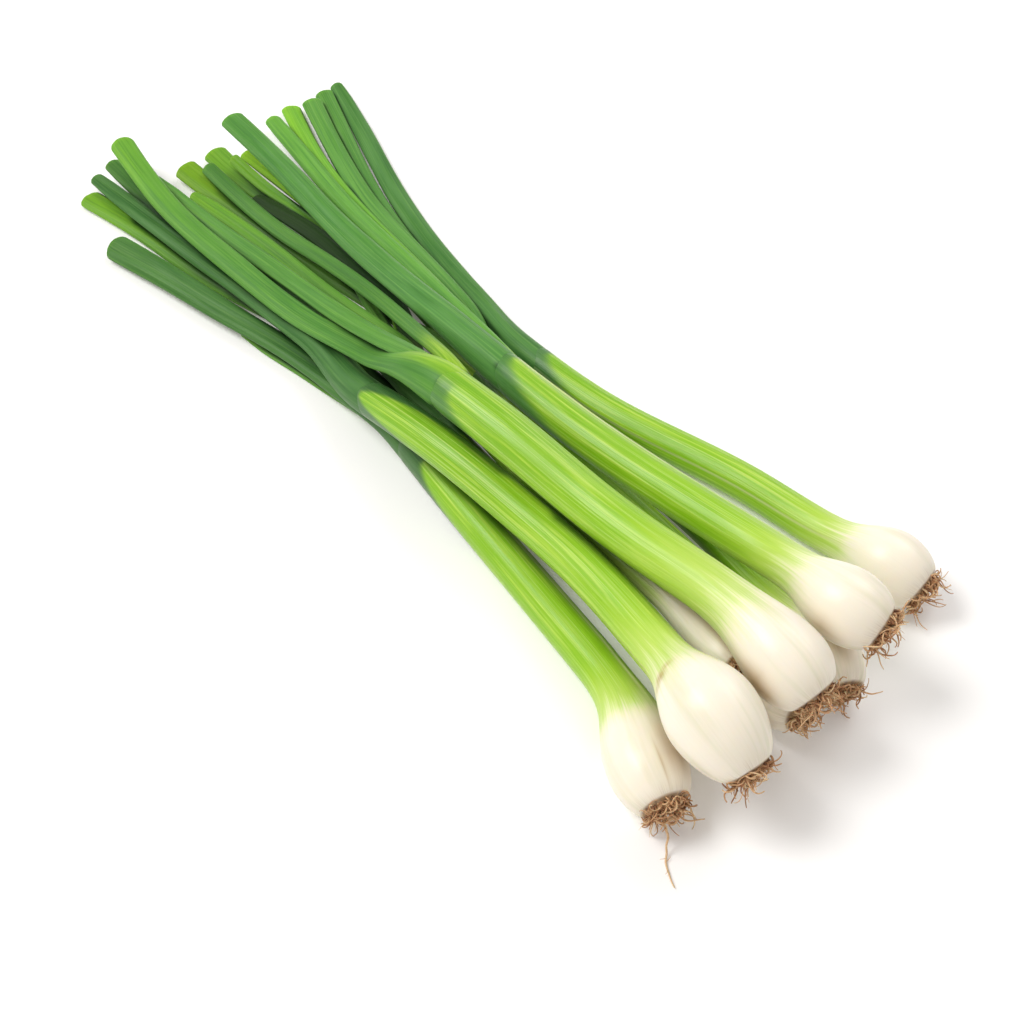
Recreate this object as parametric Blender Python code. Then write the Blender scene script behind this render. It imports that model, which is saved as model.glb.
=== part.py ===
"""Bunch of nine spring onions lying on a flat surface.

Each onion is one solid from the flat root plate, through the round bulb, to
the end of its sheathed stem; a tuft of dried roots sits on the plate, and the
tubular leaves leave the open end of the stem.  The bunch points along +X with
its bulbs and fans out along -X in its leaves.  Three large bulbs and their
stems lie on six others, and all of them press together at the waist.

Units in the tables are millimetres; the meshes are in metres, +Z up, with the
surface at z = 0.
"""
import math

import bmesh
import bpy
from mathutils import Vector

# ------------------------------------------------------------------ dimensions
MM = 0.001
STEM_SIDES = 16          # facets round a bulb and its stem
LEAF_SIDES = 8           # facets round a flattened leaf tube
LEAF_RINGS = 10          # stations along a leaf
LEAF_THICKNESS = 0.42    # thickness of a flattened leaf tube over its width
LEAF_FACE = (0.19, -0.16, 0.97)   # the way the broad side of the leaves faces
CONTACT_GAP = 0.3        # space left between pieces that touch
TUFT_HEIGHT = 1.1        # how far a trimmed root tuft stands off, over the plate radius
TUFT_SPREAD = 1.12       # widest tuft radius over the plate radius
TRAIL_RADIUS = 0.55      # the one long root left on the front onion
MIDDLE = (-0.9, 1.35, 0.0)   # sets the middle of the bunch over the origin

# Each onion: radii of the root plate, bulb, neck and stem end; distance from
# the plate to the widest point of the bulb; length over which the bulb draws
# in to its neck, and how quickly it does so; then the line its centre follows
# from the plate to the end of the stem, and its leaves.
# Each leaf: half widths at its base, middle and tip, and its centre line.
ONIONS = {
    "a": dict(
        plate=7.6, bulb=13.7, shoulder=15.8, neck=7.9, draw=50, haste=1.5, end=6.9,
        line=[(179.5, -68, 11.5), (165, -63, 13), (140.5, -51, 9.5), (106.5, -44, 7.5),
              (71, -39.5, 6.5), (36, -36, 7.5), (1, -31, 6)],
        leaves=[
            (5.1, 4.9, 5.8, [(-1, -31.5, 7.5), (-35.5, -33, 6), (-67, -36, 5.5),
                             (-98, -42.5, 5.5), (-129.5, -48.5, 5), (-164, -55.5, 4)]),
            (3.2, 2.9, 2.0, [(-1, -30, 3.5), (-33.5, -32.5, 2), (-47, -34.5, 1),
                             (-61.5, -37, 1), (-76.5, -40, 1), (-92, -42.5, 1)]),
        ]),
    "b": dict(
        plate=7.5, bulb=16, shoulder=20.8, neck=8.7, draw=36, haste=1.5, end=7.3,
        line=[(195, -47.5, 30.5), (177, -46.5, 38.5), (140.5, -37, 29.5),
              (101, -30.5, 24.5), (61, -29, 21.5), (23.5, -33, 25), (-19.5, -33.5, 16.5)],
        leaves=[
            (5.8, 4.9, 3.4, [(-22, -30, 17.5), (-59, -29.5, 12.5), (-94.5, -31, 9.5),
                             (-130, -33.5, 7), (-164, -37, 7), (-200.5, -39, 5.5)]),
            (3.5, 4.4, 4.8, [(-21, -29.5, 13), (-58.5, -26, 8.5), (-94, -29.5, 5),
                             (-129.5, -35.5, 2), (-162.5, -40, 2), (-196, -46.5, 2)]),
        ]),
    "c": dict(
        plate=7.7, bulb=14.2, shoulder=12.6, neck=9.2, draw=55, haste=3.0, end=9.2,
        line=[(189.5, -13.5, 34.5), (178.5, -14, 39.5), (149.5, -12.5, 41.5),
              (113, -14, 37), (79, -16, 35.5), (45.5, -19, 39), (11.5, -21.5, 39)],
        leaves=[
            (5.1, 4.8, 5.2, [(10, -28.5, 39), (-35, -24.5, 23.5), (-71.5, -28, 16.5),
                             (-115, -29.5, 13.5), (-158.5, -29.5, 12.5), (-201.5, -24.5, 17)]),
            (3.5, 3.8, 3.1, [(9.5, -20.5, 43), (-28, -20, 32), (-66, -19.5, 21),
                             (-105.5, -19.5, 14), (-144, -21.5, 10), (-181.5, -22, 8)]),
            (3.1, 3.5, 3.4, [(9.5, -20.5, 33.5), (-29.5, -11, 22), (-57, -10, 15.5),
                             (-81, -10.5, 12), (-115, -11, 9.5), (-164.5, -15, 7)]),
            (3.0, 3.2, 3.2, [(9, -14.5, 41), (-22.5, -7.5, 31), (-57, -1, 19.5),
                             (-92.5, -0.5, 13.5), (-124.5, -1.5, 8.5), (-173.5, -1.5, 8.5)]),
        ]),
    "d": dict(
        plate=8, bulb=13.5, shoulder=12, neck=8.2, draw=40, haste=2.2, end=7.6,
        line=[(185, 21.5, 36.5), (173.5, 18, 39.5), (140.5, 21, 29), (105.5, 18, 25),
              (72, 13.5, 24), (39, 10, 24), (6, 9.5, 23)],
        leaves=[
            (6.4, 5.4, 4.9, [(4, 8, 27), (-30, 9.5, 23.5), (-66.5, 11, 19.5),
                             (-103.5, 12.5, 18.5), (-142, 15.5, 19), (-180, 16, 21)]),
            (3.7, 3.7, 3.8, [(4, 14, 22.5), (-37.5, 19, 18), (-75.5, 24, 12.5),
                             (-111.5, 27.5, 9), (-146.5, 33, 6.5), (-184.5, 39, 5)]),
            (2.7, 3.3, 4.1, [(4, 13, 19), (-39.5, 22, 13.5), (-80.5, 28, 8.5),
                             (-118, 32.5, 5.5), (-153.5, 40, 3), (-188, 51.5, 2)]),
        ]),
    "e": dict(
        plate=8.1, bulb=13.6, shoulder=12.5, neck=7.3, draw=38, haste=3.0, end=6.3,
        line=[(170.5, 60.5, 11), (159, 58, 14), (131, 55.5, 8.5), (97, 50.5, 7.5),
              (64, 43, 6.5), (31, 35, 6.5), (-2.5, 32.5, 6)],
        leaves=[
            (4.7, 4.5, 3.3, [(-5, 35.5, 3), (-43.5, 38.5, 2), (-79.5, 44, 1.5),
                             (-115.5, 52.5, 1.5), (-152, 64.5, 1.5), (-188.5, 76, 1)]),
        ]),
    "f": dict(
        plate=6.6, bulb=11.6, shoulder=12, neck=5.7, draw=40, haste=2.0, end=4.8,
        line=[(183, 10, 9), (170, 15.5, 11.5), (140, 20.5, 7), (105, 24.5, 5),
              (70.5, 24.5, 5.5), (36, 22.5, 6), (1.5, 21, 5.5)],
        leaves=[
            (2.5, 3.8, 4.3, [(-0.5, 21, 6.5), (-44.5, 30.5, 6.5), (-81.5, 34.5, 6),
                             (-116, 39, 4), (-150, 48, 4), (-183, 59, 5)]),
            (2.7, 2.9, 3.9, [(-0.5, 22.5, 3.5), (-44, 30.5, 2.5), (-82, 37, 2.5),
                             (-118, 45, 1.5), (-152.5, 56, 2), (-186.5, 68, 2.5)]),
        ]),
    "g": dict(
        plate=6, bulb=10.8, shoulder=11, neck=5.6, draw=38, haste=2.0, end=4.8,
        line=[(182.5, -9.5, 13), (169.5, -8.5, 10.5), (143, 4, 6.5), (105, 11, 5.5),
              (66.5, 12, 5.5), (28, 10.5, 6), (-9.5, 10, 8)],
        leaves=[
            (3.2, 3.6, 5.2, [(-11.5, 7, 8), (-43.5, 9, 3.5), (-67, 7, 1.5), (-92, 3, 1.5),
                             (-121, -1, 2.5), (-152, -4.5, 3.5), (-183.5, -7, 4.5)]),
            (3.1, 3.3, 5.2, [(-11.5, 10.5, 5), (-48.5, 17, 2.5), (-85, 19.5, 1.5),
                             (-119, 16, 2), (-152, 10, 2), (-185, 9, 3)]),
        ]),
    "h": dict(
        plate=4.7, bulb=9.6, shoulder=12, neck=5.7, draw=34, haste=1.5, end=4.9,
        line=[(160.5, -18.5, 24), (147.5, -16, 20.5), (122, -14, 19.5), (86, -14.5, 19.5),
              (50, -14, 16.5), (15, -9.5, 14), (-20.5, -8, 13)],
        leaves=[
            (3.1, 2.7, 2.4, [(-22.5, -8, 10), (-55.5, -0.5, 5.5), (-86.5, 8, 5),
                             (-117, 14, 5), (-144.5, 11, 6.5), (-170.5, 9.5, 9)]),
            (3.1, 3.2, 3.0, [(-22.5, -11, 13), (-53, 5, 9.5), (-84, 13, 7.5),
                             (-114, 17, 8.5), (-145, 17.5, 7.5), (-175, 18.5, 3.5)]),
            (3.0, 4.0, 3.0, [(-22.5, -7.5, 15.5), (-53, 5, 13), (-80, 7.5, 10.5),
                             (-107.5, 8.5, 8.5), (-130, 7, 6.5), (-148, 4, 5.5)]),
        ]),
    "i": dict(
        plate=6.4, bulb=10.9, shoulder=12.2, neck=6.1, draw=36, haste=1.5, end=4.3,
        line=[(179.5, -35, 9.5), (168, -32.5, 10.5), (148, -29.5, 7.5), (111.5, -24.5, 7),
              (74.5, -21, 6.5), (38, -18, 5.5), (1, -16.5, 7.5)],
        leaves=[
            (3.1, 4.4, 3.6, [(-1, -18.5, 7.5), (-43.5, -12.5, 6), (-84, -14.5, 5),
                             (-123, -23, 5), (-162.5, -28.5, 5), (-203, -29.5, 6.5)]),
            (3.1, 3.1, 3.2, [(-1, -17, 4.5), (-32.5, -18, 2), (-63, -19.5, 1),
                             (-91.5, -22, 1), (-119.5, -26, 1), (-147, -29, 1)]),
        ]),
}

# The one long root of onion a, running down to the surface and along it.
TRAIL_LINE = [(186.5, -73, 5.5), (187.8, -74.5, 2.0), (190.8, -77.2, 0.6), (195, -79.8, 0.6),
              (199.5, -81.5, 0.6)]

STEM_COLOUR = (0.56, 0.72, 0.20, 1.0)
LEAF_COLOURS = {"dark": (0.10, 0.24, 0.09, 1.0), "light": (0.25, 0.46, 0.10, 1.0)}
LIGHT_LEAVES = {"leaf_b2", "leaf_c1", "leaf_c3", "leaf_c4", "leaf_d3",
                "leaf_g1", "leaf_g2", "leaf_h2"}
ROOT_COLOUR = (0.30, 0.16, 0.07, 1.0)


# ------------------------------------------------------------------ curves
def second_derivatives(knots, values):
    """Natural cubic spline through values at knots, by the tridiagonal rule."""
    n = len(knots)
    m = [0.0] * n
    u = [0.0] * n
    for i in range(1, n - 1):
        h0, h1 = knots[i] - knots[i - 1], knots[i + 1] - knots[i]
        sig = h0 / (h0 + h1)
        p = sig * m[i - 1] + 2.0
        m[i] = (sig - 1.0) / p
        d = (values[i + 1] - values[i]) / h1 - (values[i] - values[i - 1]) / h0
        u[i] = (6.0 * d / (h0 + h1) - sig * u[i - 1]) / p
    for i in range(n - 2, -1, -1):
        m[i] = m[i] * m[i + 1] + u[i]
    return m


class Line:
    """Smooth line through a few points, measured by its chord length."""

    def __init__(self, points):
        self.points = [Vector(p) for p in points]
        self.knots = [0.0]
        for a, b in zip(self.points, self.points[1:]):
            self.knots.append(self.knots[-1] + (b - a).length)
        self.length = self.knots[-1]
        self.bend = [second_derivatives(self.knots, [p[k] for p in self.points])
                     for k in range(3)]

    def at(self, s):
        s = min(max(s, 0.0), self.length)
        i = 0
        while i < len(self.knots) - 2 and s > self.knots[i + 1]:
            i += 1
        h = self.knots[i + 1] - self.knots[i]
        a = (self.knots[i + 1] - s) / h
        b = 1.0 - a
        p, q = self.points[i], self.points[i + 1]
        return Vector(
            a * p[k] + b * q[k]
            + ((a ** 3 - a) * self.bend[k][i] + (b ** 3 - b) * self.bend[k][i + 1])
            * h * h / 6.0 for k in range(3))

    def direction(self, s):
        step = 0.4
        return (self.at(s + step) - self.at(s - step)).normalized()


def stem_radius(onion, s, length):
    """Radius of an onion at s millimetres from its root plate."""
    shoulder, draw = onion["shoulder"], onion["draw"]
    if s <= shoulder:
        rise = math.sin(0.5 * math.pi * s / shoulder) ** 0.55
        return onion["plate"] + (onion["bulb"] - onion["plate"]) * rise
    if s <= shoulder + draw:
        fall = (0.5 + 0.5 * math.cos(math.pi * (s - shoulder) / draw)) ** onion["haste"]
        return onion["neck"] + (onion["bulb"] - onion["neck"]) * fall
    along = (s - shoulder - draw) / (length - shoulder - draw)
    return onion["neck"] + (onion["end"] - onion["neck"]) * along


def leaf_half_width(base, middle, tip, t):
    """Smooth half width of a leaf from its base, t = 0, to its tip, t = 1."""
    return base * (1 - t) * (1 - 2 * t) + 4 * middle * t * (1 - t) + tip * t * (2 * t - 1)


# ------------------------------------------------------------------ meshes
def closed_loft(name, rings, colour, roughness):
    """One closed body through rings of equal length, with flat ends."""
    bm = bmesh.new()
    loops = [[bm.verts.new(p * MM) for p in ring] for ring in rings]
    n = len(loops[0])
    for low, high in zip(loops, loops[1:]):
        for i in range(n):
            j = (i + 1) % n
            bm.faces.new((low[i], low[j], high[j], high[i]))
    bm.faces.new(list(reversed(loops[0])))
    bm.faces.new(loops[-1])
    bmesh.ops.recalc_face_normals(bm, faces=bm.faces)
    mesh = bpy.data.meshes.new(name)
    bm.to_mesh(mesh)
    bm.free()
    mesh.shade_smooth()
    mesh.set_sharp_from_angle(angle=math.radians(50))
    obj = bpy.data.objects.new(name, mesh)
    bpy.context.scene.collection.objects.link(obj)
    material = bpy.data.materials.new(name)
    material.use_nodes = True
    shader = material.node_tree.nodes["Principled BSDF"]
    shader.inputs["Base Color"].default_value = colour
    shader.inputs["Roughness"].default_value = roughness
    shader.inputs["Metallic"].default_value = 0.0
    mesh.materials.append(material)
    return obj


def on_surface(p):
    """Soft flesh flattens where it lies on the surface."""
    return Vector((p.x, p.y, max(p.z, 0.0)))


def round_ring(centre, direction, radius, sides):
    """Ring square to the line, with a flat side underneath."""
    up = (Vector((0, 0, 1)) - direction * direction.z).normalized()
    side = direction.cross(up)
    return [on_surface(centre
                       + up * (radius * math.cos(2 * math.pi * (i + 0.5) / sides))
                       + side * (radius * math.sin(2 * math.pi * (i + 0.5) / sides)))
            for i in range(sides)]


def flat_ring(centre, direction, half_width, sides):
    """Flattened ring of a leaf tube, its broad side towards LEAF_FACE."""
    across = Vector(LEAF_FACE).cross(direction).normalized()
    thick = direction.cross(across)
    half_thickness = max(LEAF_THICKNESS * half_width, 1.3)
    return [on_surface(centre
                       + across * (half_width * math.cos(2 * math.pi * i / sides))
                       + thick * (half_thickness * math.sin(2 * math.pi * i / sides)))
            for i in range(sides)]


def make_stem(key, onion):
    line = Line(onion["line"])
    shoulder, draw, length = onion["shoulder"], onion["draw"], line.length
    stations = [shoulder * f for f in (0.0, 0.05, 0.18, 0.4, 0.7, 1.0)]
    stations += [shoulder + draw * f for f in (0.12, 0.28, 0.45, 0.7, 1.0)]
    rest = length - shoulder - draw
    stations += [shoulder + draw + rest * f for f in (0.2, 0.4, 0.6, 0.8, 1.0)]
    rings = [round_ring(line.at(s), line.direction(s), stem_radius(onion, s, length),
                        STEM_SIDES) for s in stations]
    return closed_loft("onion_" + key, rings, STEM_COLOUR, 0.35)


def make_leaf(name, base, middle, tip, points):
    line = Line(points)
    rings = []
    for k in range(LEAF_RINGS):
        t = k / (LEAF_RINGS - 1)
        s = t * line.length
        rings.append(flat_ring(line.at(s), line.direction(s),
                               leaf_half_width(base, middle, tip, t), LEAF_SIDES))
    colour = LEAF_COLOURS["light" if name in LIGHT_LEAVES else "dark"]
    return closed_loft(name, rings, colour, 0.4)


def make_tuft(key, onion, turn):
    """Trimmed, dried root tuft: a lobed cap on the root plate."""
    line = Line(onion["line"])
    out = -line.direction(0.0)
    base = line.at(0.0) + out * CONTACT_GAP
    up = (Vector((0, 0, 1)) - out * out.z).normalized()
    side = out.cross(up)
    sides = 15
    rings = []
    for height, spread, lobes in ((0.0, 0.94, 0.0), (0.35, TUFT_SPREAD, 0.10),
                                  (0.8, 0.95, 0.14), (1.0, 0.5, 0.10)):
        ring = []
        for i in range(sides):
            a = 2 * math.pi * i / sides
            r = onion["plate"] * spread * (1.0 + lobes * math.sin(5 * a + turn))
            ring.append(on_surface(base + out * (TUFT_HEIGHT * onion["plate"] * height)
                                   + up * (r * math.cos(a)) + side * (r * math.sin(a))))
        rings.append(ring)
    return closed_loft("roots_" + key, rings, ROOT_COLOUR, 0.9)


def make_trail():
    line = Line(TRAIL_LINE)
    count = 9
    rings = []
    for k in range(count):
        s = line.length * k / (count - 1)
        radius = TRAIL_RADIUS * (1.0 - 0.35 * k / (count - 1))
        rings.append(round_ring(line.at(s), line.direction(s), radius, 6))
    return closed_loft("long_root_a", rings, ROOT_COLOUR, 0.8)


# ------------------------------------------------------------------ the bunch
def main():
    for obj in list(bpy.data.objects):
        bpy.data.objects.remove(obj, do_unlink=True)
    bunch = bpy.data.objects.new("bunch", None)
    bunch.location = Vector(MIDDLE) * MM
    bpy.context.scene.collection.objects.link(bunch)
    pieces = []
    for turn, (key, onion) in enumerate(ONIONS.items()):
        pieces.append(make_stem(key, onion))
        pieces.append(make_tuft(key, onion, 0.8 * turn))
        for number, leaf in enumerate(onion["leaves"], start=1):
            pieces.append(make_leaf("leaf_%s%d" % (key, number), *leaf))
    pieces.append(make_trail())
    for piece in pieces:
        piece.parent = bunch
    bpy.context.view_layer.update()


main()
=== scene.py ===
"""Studio view of the spring onion bunch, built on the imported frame.

Every bulb with its stem, every leaf and every root tuft is a fine mesh that
stands for its plain solid.  Tables are in millimetres, meshes in metres.
"""

import math

import bpy
import numpy as np
from mathutils import Matrix, Vector
from mathutils.bvhtree import BVHTree


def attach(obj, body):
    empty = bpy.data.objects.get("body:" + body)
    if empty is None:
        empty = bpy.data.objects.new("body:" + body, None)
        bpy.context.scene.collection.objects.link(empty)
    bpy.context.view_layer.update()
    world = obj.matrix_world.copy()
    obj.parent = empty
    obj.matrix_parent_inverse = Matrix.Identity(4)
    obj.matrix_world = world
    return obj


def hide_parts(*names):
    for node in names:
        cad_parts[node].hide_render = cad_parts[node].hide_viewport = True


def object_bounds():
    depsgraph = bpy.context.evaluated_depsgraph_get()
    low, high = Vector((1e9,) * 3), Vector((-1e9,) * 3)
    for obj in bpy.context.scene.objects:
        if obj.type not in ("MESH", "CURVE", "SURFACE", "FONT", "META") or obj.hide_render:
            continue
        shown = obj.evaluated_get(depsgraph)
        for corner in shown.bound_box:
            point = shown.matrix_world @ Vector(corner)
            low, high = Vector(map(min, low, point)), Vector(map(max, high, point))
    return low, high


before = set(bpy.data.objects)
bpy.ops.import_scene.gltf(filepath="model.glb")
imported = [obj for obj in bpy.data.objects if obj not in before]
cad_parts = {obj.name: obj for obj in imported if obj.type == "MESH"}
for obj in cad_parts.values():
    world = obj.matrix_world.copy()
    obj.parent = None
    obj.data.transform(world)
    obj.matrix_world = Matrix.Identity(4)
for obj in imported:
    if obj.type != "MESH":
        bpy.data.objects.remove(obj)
cad_low, cad_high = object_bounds()

MM = 0.001
MIDDLE = np.array([-0.9, 1.35, 0.0])      # as the solids are placed
LEAF_FACE = np.array([0.19, -0.16, 0.97])

ONIONS = {
    "a": dict(
        plate=7.6, bulb=13.7, shoulder=15.8, neck=7.9, draw=50, haste=1.5, end=6.9,
        line=[(179.5, -68, 11.5), (165, -63, 13), (140.5, -51, 9.5), (106.5, -44, 7.5),
              (71, -39.5, 6.5), (36, -36, 7.5), (1, -31, 6)],
        leaves=[
            (5.1, 4.9, 5.8, [(-1, -31.5, 7.5), (-35.5, -33, 6), (-67, -36, 5.5),
                             (-98, -42.5, 5.5), (-129.5, -48.5, 5), (-164, -55.5, 4)]),
            (3.2, 2.9, 2.0, [(-1, -30, 3.5), (-33.5, -32.5, 2), (-47, -34.5, 1),
                             (-61.5, -37, 1), (-76.5, -40, 1), (-92, -42.5, 1)]),
        ]),
    "b": dict(
        plate=7.5, bulb=16, shoulder=20.8, neck=8.7, draw=36, haste=1.5, end=7.3,
        line=[(195, -47.5, 30.5), (177, -46.5, 38.5), (140.5, -37, 29.5),
              (101, -30.5, 24.5), (61, -29, 21.5), (23.5, -33, 25), (-19.5, -33.5, 16.5)],
        leaves=[
            (5.8, 4.9, 3.4, [(-22, -30, 17.5), (-59, -29.5, 12.5), (-94.5, -31, 9.5),
                             (-130, -33.5, 7), (-164, -37, 7), (-200.5, -39, 5.5)]),
            (3.5, 4.4, 4.8, [(-21, -29.5, 13), (-58.5, -26, 8.5), (-94, -29.5, 5),
                             (-129.5, -35.5, 2), (-162.5, -40, 2), (-196, -46.5, 2)]),
        ]),
    "c": dict(
        plate=7.7, bulb=14.2, shoulder=12.6, neck=9.2, draw=55, haste=3.0, end=9.2,
        line=[(189.5, -13.5, 34.5), (178.5, -14, 39.5), (149.5, -12.5, 41.5),
              (113, -14, 37), (79, -16, 35.5), (45.5, -19, 39), (11.5, -21.5, 39)],
        leaves=[
            (5.1, 4.8, 5.2, [(10, -28.5, 39), (-35, -24.5, 23.5), (-71.5, -28, 16.5),
                             (-115, -29.5, 13.5), (-158.5, -29.5, 12.5), (-201.5, -24.5, 17)]),
            (3.5, 3.8, 3.1, [(9.5, -20.5, 43), (-28, -20, 32), (-66, -19.5, 21),
                             (-105.5, -19.5, 14), (-144, -21.5, 10), (-181.5, -22, 8)]),
            (3.1, 3.5, 3.4, [(9.5, -20.5, 33.5), (-29.5, -11, 22), (-57, -10, 15.5),
                             (-81, -10.5, 12), (-115, -11, 9.5), (-164.5, -15, 7)]),
            (3.0, 3.2, 3.2, [(9, -14.5, 41), (-22.5, -7.5, 31), (-57, -1, 19.5),
                             (-92.5, -0.5, 13.5), (-124.5, -1.5, 8.5), (-173.5, -1.5, 8.5)]),
        ]),
    "d": dict(
        plate=8, bulb=13.5, shoulder=12, neck=8.2, draw=40, haste=2.2, end=7.6,
        line=[(185, 21.5, 36.5), (173.5, 18, 39.5), (140.5, 21, 29), (105.5, 18, 25),
              (72, 13.5, 24), (39, 10, 24), (6, 9.5, 23)],
        leaves=[
            (6.4, 5.4, 4.9, [(4, 8, 27), (-30, 9.5, 23.5), (-66.5, 11, 19.5),
                             (-103.5, 12.5, 18.5), (-142, 15.5, 19), (-180, 16, 21)]),
            (3.7, 3.7, 3.8, [(4, 14, 22.5), (-37.5, 19, 18), (-75.5, 24, 12.5),
                             (-111.5, 27.5, 9), (-146.5, 33, 6.5), (-184.5, 39, 5)]),
            (2.7, 3.3, 4.1, [(4, 13, 19), (-39.5, 22, 13.5), (-80.5, 28, 8.5),
                             (-118, 32.5, 5.5), (-153.5, 40, 3), (-188, 51.5, 2)]),
        ]),
    "e": dict(
        plate=8.1, bulb=13.6, shoulder=12.5, neck=7.3, draw=38, haste=3.0, end=6.3,
        line=[(170.5, 60.5, 11), (159, 58, 14), (131, 55.5, 8.5), (97, 50.5, 7.5),
              (64, 43, 6.5), (31, 35, 6.5), (-2.5, 32.5, 6)],
        leaves=[
            (4.7, 4.5, 3.3, [(-5, 35.5, 3), (-43.5, 38.5, 2), (-79.5, 44, 1.5),
                             (-115.5, 52.5, 1.5), (-152, 64.5, 1.5), (-188.5, 76, 1)]),
        ]),
    "f": dict(
        plate=6.6, bulb=11.6, shoulder=12, neck=5.7, draw=40, haste=2.0, end=4.8,
        line=[(183, 10, 9), (170, 15.5, 11.5), (140, 20.5, 7), (105, 24.5, 5),
              (70.5, 24.5, 5.5), (36, 22.5, 6), (1.5, 21, 5.5)],
        leaves=[
            (2.5, 3.8, 4.3, [(-0.5, 21, 6.5), (-44.5, 30.5, 6.5), (-81.5, 34.5, 6),
                             (-116, 39, 4), (-150, 48, 4), (-183, 59, 5)]),
            (2.7, 2.9, 3.9, [(-0.5, 22.5, 3.5), (-44, 30.5, 2.5), (-82, 37, 2.5),
                             (-118, 45, 1.5), (-152.5, 56, 2), (-186.5, 68, 2.5)]),
        ]),
    "g": dict(
        plate=6, bulb=10.8, shoulder=11, neck=5.6, draw=38, haste=2.0, end=4.8,
        line=[(182.5, -9.5, 13), (169.5, -8.5, 10.5), (143, 4, 6.5), (105, 11, 5.5),
              (66.5, 12, 5.5), (28, 10.5, 6), (-9.5, 10, 8)],
        leaves=[
            (3.2, 3.6, 5.2, [(-11.5, 7, 8), (-43.5, 9, 3.5), (-67, 7, 1.5), (-92, 3, 1.5),
                             (-121, -1, 2.5), (-152, -4.5, 3.5), (-183.5, -7, 4.5)]),
            (3.1, 3.3, 5.2, [(-11.5, 10.5, 5), (-48.5, 17, 2.5), (-85, 19.5, 1.5),
                             (-119, 16, 2), (-152, 10, 2), (-185, 9, 3)]),
        ]),
    "h": dict(
        plate=4.7, bulb=9.6, shoulder=12, neck=5.7, draw=34, haste=1.5, end=4.9,
        line=[(160.5, -18.5, 24), (147.5, -16, 20.5), (122, -14, 19.5), (86, -14.5, 19.5),
              (50, -14, 16.5), (15, -9.5, 14), (-20.5, -8, 13)],
        leaves=[
            (3.1, 2.7, 2.4, [(-22.5, -8, 10), (-55.5, -0.5, 5.5), (-86.5, 8, 5),
                             (-117, 14, 5), (-144.5, 11, 6.5), (-170.5, 9.5, 9)]),
            (3.1, 3.2, 3.0, [(-22.5, -11, 13), (-53, 5, 9.5), (-84, 13, 7.5),
                             (-114, 17, 8.5), (-145, 17.5, 7.5), (-175, 18.5, 3.5)]),
            (3.0, 4.0, 3.0, [(-22.5, -7.5, 15.5), (-53, 5, 13), (-80, 7.5, 10.5),
                             (-107.5, 8.5, 8.5), (-130, 7, 6.5), (-148, 4, 5.5)]),
        ]),
    "i": dict(
        plate=6.4, bulb=10.9, shoulder=12.2, neck=6.1, draw=36, haste=1.5, end=4.3,
        line=[(179.5, -35, 9.5), (168, -32.5, 10.5), (148, -29.5, 7.5), (111.5, -24.5, 7),
              (74.5, -21, 6.5), (38, -18, 5.5), (1, -16.5, 7.5)],
        leaves=[
            (3.1, 4.4, 3.6, [(-1, -18.5, 7.5), (-43.5, -12.5, 6), (-84, -14.5, 5),
                             (-123, -23, 5), (-162.5, -28.5, 5), (-203, -29.5, 6.5)]),
            (3.1, 3.1, 3.2, [(-1, -17, 4.5), (-32.5, -18, 2), (-63, -19.5, 1),
                             (-91.5, -22, 1), (-119.5, -26, 1), (-147, -29, 1)]),
        ]),
}
TRAIL_LINE = [(186.5, -73, 5.5), (187.8, -74.5, 2.0), (190.8, -77.2, 0.6), (195, -79.8, 0.6),
              (199.5, -81.5, 0.6)]

# How each leaf looks and lies: yel, yellow green (0 blue green to 1 bright);
# shade, painted light and shade on the whole leaf, 1 normal, lower darker as in
# shadow and higher lighter as if lit; base, mm of stem colour at its foot; tip,
# yellow green added towards the cut; turn, degrees of twist; groove, depth of
# its channel; blunt, how rounded the cut corners are; point, how much it narrows;
# neck, mm over which a main leaf draws in from the stem; half, 1 where only the
# upper half of its foot has the stem colour; bend, mm over which it leaves the
# line of the stem.
def look(yel, shade, base, tip, turn, groove, blunt=0.3, point=0.0, neck=46.0, half=0.0,
         bend=40.0):
    return dict(yel=yel, shade=shade, base=base, tip=tip, turn=turn, groove=groove,
                blunt=blunt, point=point, neck=neck, half=half, bend=bend)


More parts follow.
